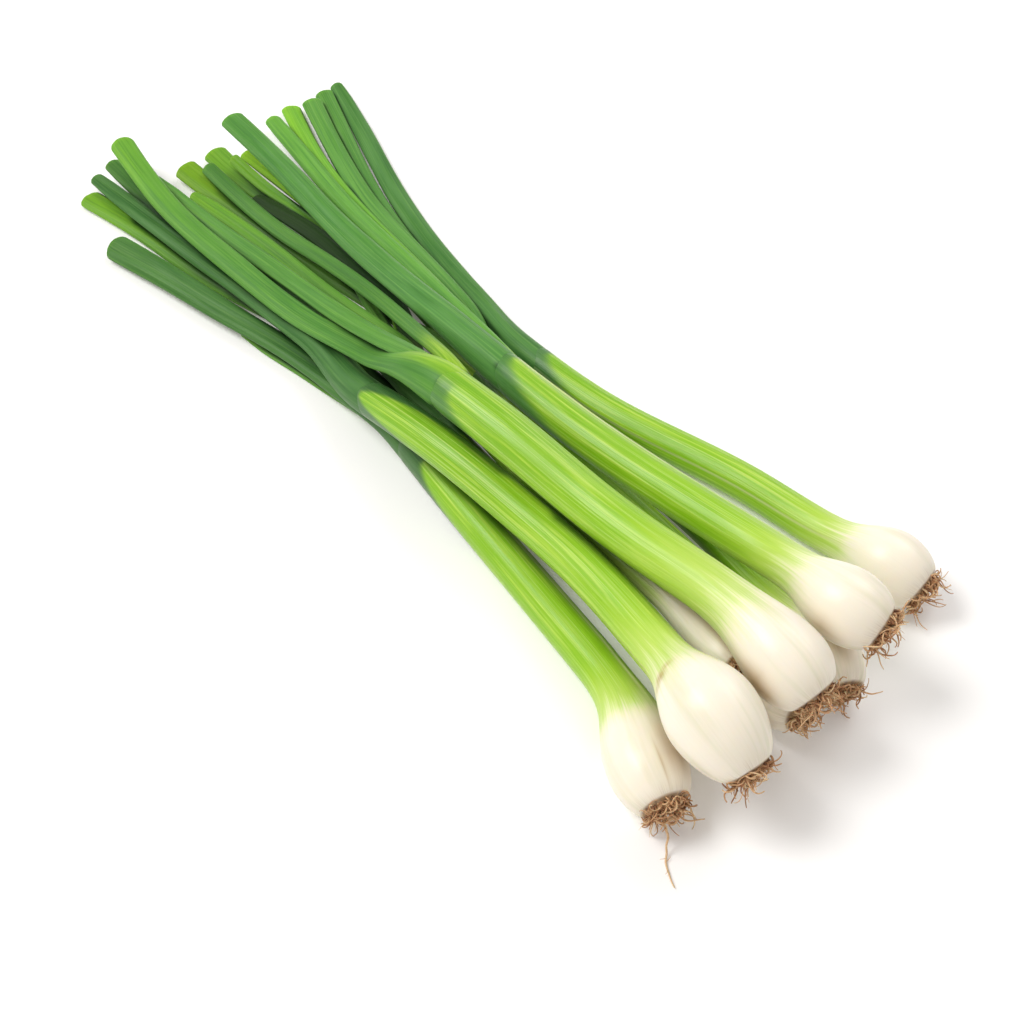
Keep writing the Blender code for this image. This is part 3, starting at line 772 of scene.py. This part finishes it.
class Finish:
    """A material and short ways to add its nodes."""

    def __init__(self, name):
        self.material = bpy.data.materials.new(name)
        self.material.use_nodes = True
        self.nodes = self.material.node_tree.nodes
        self.links = self.material.node_tree.links
        self.nodes.clear()
        self.out = self.nodes.new("ShaderNodeOutputMaterial")
        self.shader = self.nodes.new("ShaderNodeBsdfPrincipled")
        self.links.new(self.shader.outputs[0], self.out.inputs["Surface"])

    def link(self, a, b):
        self.links.new(a, b)

    def value(self, name):
        n = self.nodes.new("ShaderNodeAttribute")
        n.attribute_name = name
        return n.outputs["Fac"]

    def vector(self, name):
        n = self.nodes.new("ShaderNodeAttribute")
        n.attribute_name = name
        return n.outputs["Vector"]

    def stretch(self, vec, by, shift=(0, 0, 0)):
        n = self.nodes.new("ShaderNodeVectorMath")
        n.operation = "MULTIPLY_ADD"
        self.link(vec, n.inputs[0])
        n.inputs[1].default_value = by
        n.inputs[2].default_value = shift
        return n.outputs[0]

    def noise(self, vec, scale=1.0, detail=3.0, rough=0.55, warp=0.0):
        n = self.nodes.new("ShaderNodeTexNoise")
        self.link(vec, n.inputs["Vector"])
        n.inputs["Scale"].default_value = scale
        n.inputs["Detail"].default_value = detail
        n.inputs["Roughness"].default_value = rough
        n.inputs["Distortion"].default_value = warp
        return n.outputs["Fac"]

    def math(self, op, a, b=None, c=None, clamp=False):
        n = self.nodes.new("ShaderNodeMath")
        n.operation = op
        n.use_clamp = clamp
        for i, v in enumerate((a, b, c)):
            if v is None:
                continue
            if isinstance(v, (int, float)):
                n.inputs[i].default_value = v
            else:
                self.link(v, n.inputs[i])
        return n.outputs[0]

    def remap(self, v, a, b, c=0.0, d=1.0, smooth_step=False):
        n = self.nodes.new("ShaderNodeMapRange")
        n.interpolation_type = "SMOOTHSTEP" if smooth_step else "LINEAR"
        n.clamp = True
        self.link(v, n.inputs["Value"])
        n.inputs["From Min"].default_value = a
        n.inputs["From Max"].default_value = b
        n.inputs["To Min"].default_value = c
        n.inputs["To Max"].default_value = d
        return n.outputs[0]

    def ramp(self, v, stops):
        n = self.nodes.new("ShaderNodeValToRGB")
        n.color_ramp.interpolation = "EASE" if len(stops) < 3 else "LINEAR"
        el = n.color_ramp.elements
        el[0].position, el[0].color = stops[0]
        el[1].position, el[1].color = stops[-1]
        for p, col in stops[1:-1]:
            e = el.new(p)
            e.color = col
        self.link(v, n.inputs["Fac"])
        return n.outputs["Color"]

    def mix(self, f, a, b, mode="MIX"):
        n = self.nodes.new("ShaderNodeMix")
        n.data_type = "RGBA"
        n.blend_type = mode
        n.clamp_factor = True
        if isinstance(f, (int, float)):
            n.inputs["Factor"].default_value = f
        else:
            self.link(f, n.inputs["Factor"])
        for s, v in (("A", a), ("B", b)):
            sock = [i for i in n.inputs if i.name == s and i.type == "RGBA"][0]
            if isinstance(v, tuple):
                sock.default_value = v
            else:
                self.link(v, sock)
        return [o for o in n.outputs if o.type == "RGBA"][0]

    def tune(self, col, hue=0.5, sat=1.0, val=1.0):
        n = self.nodes.new("ShaderNodeHueSaturation")
        self.link(col, n.inputs["Color"])
        for s, v in (("Hue", hue), ("Saturation", sat), ("Value", val)):
            if isinstance(v, (int, float)):
                n.inputs[s].default_value = v
            else:
                self.link(v, n.inputs[s])
        return n.outputs["Color"]

    def bump(self, height, strength, distance, before=None):
        n = self.nodes.new("ShaderNodeBump")
        n.inputs["Strength"].default_value = strength
        n.inputs["Distance"].default_value = distance
        self.link(height, n.inputs["Height"])
        if before is not None:
            self.link(before, n.inputs["Normal"])
        return n.outputs["Normal"]

    def set(self, **k):
        for name, v in k.items():
            self.shader.inputs[name.replace("_", " ")].default_value = v


def leaf_colour(f, streak, broad, fine, yel, bloom):
    """Colour of a leaf: blue green and waxy, or yellow green."""
    y = f.math("MULTIPLY_ADD", f.math("SUBTRACT", streak, 0.5), 0.40, yel)
    y = f.math("MULTIPLY_ADD", f.math("SUBTRACT", broad, 0.5), 0.40, y, clamp=True)
    body = f.ramp(y, [(0.0, rgb("#3d6f32")), (0.22, rgb("#4c8130")), (0.45, rgb("#62992f")),
                      (0.70, rgb("#74a828")), (1.0, rgb("#84b61c"))])
    vein = f.remap(fine, 0.51, 0.66, 0.0, 0.33)
    body = f.mix(vein, body, f.mix(yel, rgb("#75a258"), rgb("#a4c84a")))
    dark = f.remap(fine, 0.47, 0.32, 0.0, 0.33)
    body = f.mix(dark, body, rgb("#2a5422"))
    wax = f.math("MULTIPLY", f.remap(broad, 0.36, 0.66, 0.0, bloom), f.remap(y, 0.6, 0.1))
    return f.mix(wax, body, rgb("#66925c"))


def stem_finish():
    f = Finish("bulb_and_stem_skin")
    grain = f.vector("grain")
    broad = f.noise(f.stretch(grain, (0.22, 0.22, 0.6)), 1.0, 3.0, 0.5)
    streak = f.noise(f.stretch(grain, (0.60, 0.60, 0.5)), 1.0, 3.0, 0.6)
    fine = f.noise(f.stretch(grain, (2.3, 2.3, 0.30), (7, 3, 1)), 1.0, 3.0, 0.62)
    ray = f.noise(f.stretch(grain, (7.0, 7.0, 1.4), (2, 8, 5)), 1.0, 2.0, 0.5)
    green, deep, dull = f.value("green"), f.value("deep"), f.value("dull")
    stain, seam, bright, spot = f.value("stain"), f.value("seam"), f.value("bright"), f.value("spot")
    # how green, with ragged streaks running into the white
    g = f.math("MULTIPLY_ADD", f.math("SUBTRACT", streak, 0.5), 0.50, green)
    g = f.math("MULTIPLY_ADD", f.math("SUBTRACT", fine, 0.5), 0.55, g)
    g = f.math("MULTIPLY_ADD", f.math("SUBTRACT", broad, 0.5), 0.30, g)
    g = f.math("MULTIPLY", g, f.remap(green, 0.0, 0.25), clamp=True)
    body = f.ramp(g, [(0.0, rgb("#f2ead9")), (0.10, rgb("#ebe8c4")), (0.24, rgb("#d6e29b")),
                      (0.44, rgb("#b8d45e")), (0.70, rgb("#a0c834")), (1.0, rgb("#8cbe1a"))])
    # deeper green towards the leaves
    d = f.math("MULTIPLY_ADD", f.math("SUBTRACT", broad, 0.5), 1.0, deep)
    d = f.math("MULTIPLY_ADD", f.math("SUBTRACT", streak, 0.5), 0.7, d)
    d = f.math("MULTIPLY", d, f.remap(bright, 0.0, 1.0, 0.95, 0.30), clamp=True)
    body = f.mix(d, body, f.ramp(streak, [(0.3, rgb("#509404")), (0.7, rgb("#7ab010"))]))
    # thin dark lines between the ribs of the sheath, and pale ones
    lines = f.remap(fine, 0.47, 0.33, 0.0, 0.46)
    lines = f.math("MULTIPLY", lines, f.remap(g, 0.35, 0.95))
    body = f.mix(lines, body, rgb("#62a40a"))
    pale = f.remap(fine, 0.53, 0.66, 0.0, 0.38)
    pale = f.math("MULTIPLY", pale, f.remap(g, 0.25, 0.7))
    body = f.mix(pale, body, rgb("#dcec94"))
    soft = f.math("MULTIPLY", f.remap(streak, 0.50, 0.68, 0.0, 0.55), f.remap(g, 0.3, 0.8))
    body = f.mix(soft, body, rgb("#c6de60"))
    # veins and a little grime on the white skin
    vein = f.math("MULTIPLY", f.remap(fine, 0.45, 0.30, 0.0, 0.06), f.remap(g, 0.35, 0.05))
    body = f.mix(vein, body, rgb("#c8bd8c"))
    grime = f.math("MULTIPLY", f.remap(broad, 0.50, 0.72, 0.0, 0.13), f.remap(g, 0.3, 0.0))
    body = f.mix(grime, body, rgb("#d6c492"))
    # the sheath's tongue ends and the leaf's own colour begins
    leaf = leaf_colour(f, streak, broad, fine, f.value("yel"), 0.45)
    # painted light and shade: the main leaf's shade value, a little darker, on the leaf colour here
    leaf = f.tune(leaf, val=f.math("MULTIPLY", f.value("shade"), 0.90))
    body = f.mix(dull, body, leaf)
    body = f.mix(f.math("MULTIPLY", seam, 0.75), body, rgb("#d9dca6"))
    # brown round the root plate, in short rays
    rays = f.math("MULTIPLY", f.remap(ray, 0.50, 0.36), f.remap(stain, 0.10, 0.8))
    rays = f.math("MULTIPLY", rays, 0.26)
    rays = f.math("MAXIMUM", rays, f.remap(stain, 0.86, 1.0, 0.0, 0.8))
    body = f.mix(rays, body, f.ramp(streak, [(0.35, rgb("#7a5232")), (0.65, rgb("#b48d58"))]))
    body = f.mix(f.math("MULTIPLY", spot, f.remap(fine, 0.3, 0.6, 0.5, 1.0)), body, rgb("#a8842e"))
    # painted shade: darker and warmer where the pieces press together
    shade_amount = f.remap(f.value("painted_crevice_shade"), 0.10, 0.70, 0.0, 0.80, True)
    body = f.mix(shade_amount, body, f.ramp(g, [(0.0, rgb("#a5864e")), (0.35, rgb("#54701a")), (0.8, rgb("#16480a"))]))
    f.link(body, f.shader.inputs["Base Color"])
    rough = f.math("MULTIPLY_ADD", fine, 0.16, 0.27)
    rough = f.math("MULTIPLY_ADD", f.remap(stain, 0.5, 1.0), 0.3, rough)
    f.link(rough, f.shader.inputs["Roughness"])
    f.set(Subsurface_Weight=0.30, Subsurface_Scale=0.005, IOR=1.42, Specular_IOR_Level=0.45,
          Coat_Weight=0.10, Coat_Roughness=0.30)
    f.shader.inputs["Subsurface Radius"].default_value = (1.0, 0.75, 0.38)
    height = f.math("MULTIPLY", fine, f.remap(green, 0.0, 0.5, 0.25, 1.0))
    n = f.bump(height, 0.35, 0.0003)
    height = f.math("MULTIPLY", streak, f.remap(green, 0.0, 0.5, 0.12, 1.0))
    n = f.bump(height, 0.22, 0.0006, n)
    f.link(n, f.shader.inputs["Normal"])
    return f.material


def leaf_finish(name, bloom):
    f = Finish(name)
    grain = f.vector("grain")
    broad = f.noise(f.stretch(grain, (0.25, 0.25, 0.5)), 1.0, 3.0, 0.5)
    streak = f.noise(f.stretch(grain, (0.70, 0.70, 0.7)), 1.0, 3.0, 0.6)
    fine = f.noise(f.stretch(grain, (1.9, 1.9, 0.35), (3, 9, 2)), 1.0, 3.0, 0.65)
    yel, fresh = f.value("yel"), f.value("fresh")
    shade, inside, middle = f.value("shade"), f.value("inside"), f.value("middle")
    body = leaf_colour(f, streak, broad, fine, yel, bloom)
    # still stem-coloured near the fork, longest down the middle
    k = f.math("MULTIPLY_ADD", f.math("SUBTRACT", middle, 0.55), 0.45, fresh)
    k = f.math("MULTIPLY_ADD", f.math("SUBTRACT", streak, 0.5), 0.5, k)
    k = f.math("MULTIPLY", k, f.remap(fresh, 0.0, 0.3), clamp=True)
    body = f.mix(k, body, f.ramp(streak, [(0.3, rgb("#7dae1e")), (0.7, rgb("#a5c846"))]))
    # painted light and shade: each leaf's shade value darkens or lightens its whole colour
    body = f.tune(body, val=shade)
    body = f.mix(inside, body, rgb("#86a050"))
    # painted shade: near black green where other pieces crowd the leaf
    shade_amount = f.remap(f.value("painted_crevice_shade"), 0.10, 0.62, 0.0, 0.88, True)
    body = f.mix(shade_amount, body, rgb("#0c2e08"))
    f.link(body, f.shader.inputs["Base Color"])
    f.link(f.math("MULTIPLY_ADD", streak, 0.20, 0.32), f.shader.inputs["Roughness"])
    f.set(Subsurface_Weight=0.14, Subsurface_Scale=0.002, IOR=1.42, Specular_IOR_Level=0.24,
          Sheen_Weight=0.02, Sheen_Roughness=0.5)
    f.shader.inputs["Subsurface Radius"].default_value = (0.6, 1.0, 0.3)
    n = f.bump(fine, 0.38, 0.0003)
    n = f.bump(broad, 0.35, 0.0009, n)
    f.link(n, f.shader.inputs["Normal"])
    return f.material


def root_finish():
    f = Finish("dry_root_fibre")
    grain = f.vector("grain")
    tone = f.value("tone")
    n1 = f.noise(grain, 1.2, 3.0, 0.6)
    t = f.math("MULTIPLY_ADD", f.math("SUBTRACT", n1, 0.5), 0.9, tone, clamp=True)
    body = f.ramp(t, [(0.0, rgb("#64402a")), (0.25, rgb("#9c6f4c")), (0.55, rgb("#c59a70")),
                      (0.85, rgb("#dab68c")), (1.0, rgb("#dcc096"))])
    f.link(body, f.shader.inputs["Base Color"])
    f.link(f.math("MULTIPLY_ADD", n1, 0.3, 0.5), f.shader.inputs["Roughness"])
    f.set(Subsurface_Weight=0.1, Subsurface_Scale=0.001, Specular_IOR_Level=0.35)
    f.link(f.bump(f.noise(grain, 4.0, 2.0, 0.6), 0.5, 0.0002), f.shader.inputs["Normal"])
    return f.material


def floor_finish():
    f = Finish("studio_floor")
    c = f.nodes.new("ShaderNodeTexCoord")
    n = f.noise(c.outputs["Object"], 3.0, 2.0, 0.5)
    f.link(f.ramp(n, [(0.3, (0.87, 0.87, 0.87, 1)), (0.7, (0.885, 0.885, 0.885, 1))]),
           f.shader.inputs["Base Color"])
    f.link(f.math("MULTIPLY_ADD", n, 0.1, 0.75), f.shader.inputs["Roughness"])
    # white acrylic lit a little from below
    f.set(Specular_IOR_Level=0.2, Emission_Strength=0.12)
    f.shader.inputs["Emission Color"].default_value = (1.0, 0.93, 0.885, 1.0)
    return f.material


# ------------------------------------------------------------------- build
skin = stem_finish()
dull = leaf_finish("leaf_skin_waxy", 0.42)
lively = leaf_finish("leaf_skin_bright", 0.25)
root = root_finish()

for index, (key, o) in enumerate(ONIONS.items()):
    rng = np.random.default_rng(40 + index)
    build_onion(key, o, STEM_LOOK[key], LEAF_LOOK["leaf_%s1" % key], rng).data.materials.append(skin)
    for number, leaf in enumerate(o["leaves"]):
        n = "leaf_" + key + (str(number + 1) if len(o["leaves"]) > 1 else "1")
        piece = build_leaf(n, o, leaf, number == 0, np.random.default_rng(100 + 10 * index + number))
        piece.data.materials.append(lively if n in LIGHT else dull)
    build_roots(key, o, np.random.default_rng(300 + index), 100).data.materials.append(root)

# the long root that trails from the first bulb
trail = Line([(180.2, -69.5, 8.6), (183.8, -71.6, 7.4)] + TRAIL_LINE)
s = np.linspace(0, trail.length, 80)
rng = np.random.default_rng(7)
p = trail.at(s)
p[:, 2] = np.maximum(p[:, 2], 0.55)
parts = [fibre(keep_in(p + np.stack([0.15 * np.sin(s * 1.1), 0.15 * np.cos(s * 0.9), 0 * s], -1)),
               0.42, 8)]
tones = [0.85]
for j in range(3):      # fine side hairs
    i = rng.integers(20, 60)
    v = unit(np.r_[rng.normal(0, 1, 2), 0.1])
    q = [p[i]]
    for _ in range(7):
        v = unit(v + rng.normal(0, 0.25, 3) * np.array([1, 1, 0.2]))
        q.append(q[-1] + v * 0.35)
    parts.append(fibre(keep_in(q), 0.10))
    tones.append(0.7)
long_root = join_fibres("long_root", parts, tones)
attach(long_root, "root")
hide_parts("long_root_a")
long_root.data.materials.append(root)

# ------------------------------------------------------------------- stage
RIGHT = np.array([0.642788, 0.766044, 0.0])
AWAY = np.array([-0.766044, 0.642788, 0.0])

floor_mesh = bpy.data.meshes.new("studio_floor")
floor_mesh.from_pydata([(-4, -4, 0), (4, -4, 0), (4, 4, 0), (-4, 4, 0)], [], [(0, 1, 2, 3)])
floor = bpy.data.objects.new("studio_floor", floor_mesh)
floor.location.z = -0.0001
bpy.context.scene.collection.objects.link(floor)
floor_mesh.materials.append(floor_finish())


def area(name, place, size, power, colour=(1, 1, 1)):
    data = bpy.data.lights.new(name, "AREA")
    data.shape = "DISK"
    data.size = size
    data.energy = power
    data.color = colour
    obj = bpy.data.objects.new(name, data)
    obj.location = Vector(place)
    aim = Vector((0.03, 0.0, 0.02)) - obj.location
    obj.rotation_euler = aim.to_track_quat("-Z", "Y").to_euler()
    bpy.context.scene.collection.objects.link(obj)
    return obj


area("key_softbox", -1.30 * RIGHT + 0.10 * AWAY + np.array([0, 0, 1.9]), 1.2, 38.0, (1.0, 0.99, 0.97))
area("back_softbox", 1.0 * RIGHT + 1.15 * AWAY + np.array([0, 0, 1.5]), 1.4, 17.0)
area("front_fill", -0.3 * RIGHT - 1.6 * AWAY + np.array([0, 0, 1.3]), 1.6, 5.5, (1.0, 0.97, 0.94))

world = bpy.data.worlds.new("studio")
world.use_nodes = True
world.node_tree.nodes["Background"].inputs["Color"].default_value = (1.0, 0.968, 0.94, 1)
world.node_tree.nodes["Background"].inputs["Strength"].default_value = 0.42
bpy.context.scene.world = world
bpy.context.scene.view_settings.view_transform = "Standard"
bpy.context.scene.view_settings.look = "None"

camera_data = bpy.data.cameras.new("photo_view")
camera_data.lens = 2300.0 / 1024.0 * 36.0
camera_data.sensor_width = 36.0
camera_data.clip_end = 20.0
camera = bpy.data.objects.new("photo_view", camera_data)
up = (-0.586824, 0.492404, 0.642788)
back = (0.492404, -0.413176, 0.766044)
place = (np.array([458.62, -367.07, 643.48]) + MIDDLE) * MM
m = Matrix(((RIGHT[0], up[0], back[0], place[0]), (RIGHT[1], up[1], back[1], place[1]),
            (RIGHT[2], up[2], back[2], place[2]), (0, 0, 0, 1)))
camera.matrix_world = m
bpy.context.scene.collection.objects.link(camera)
bpy.context.scene.camera = camera
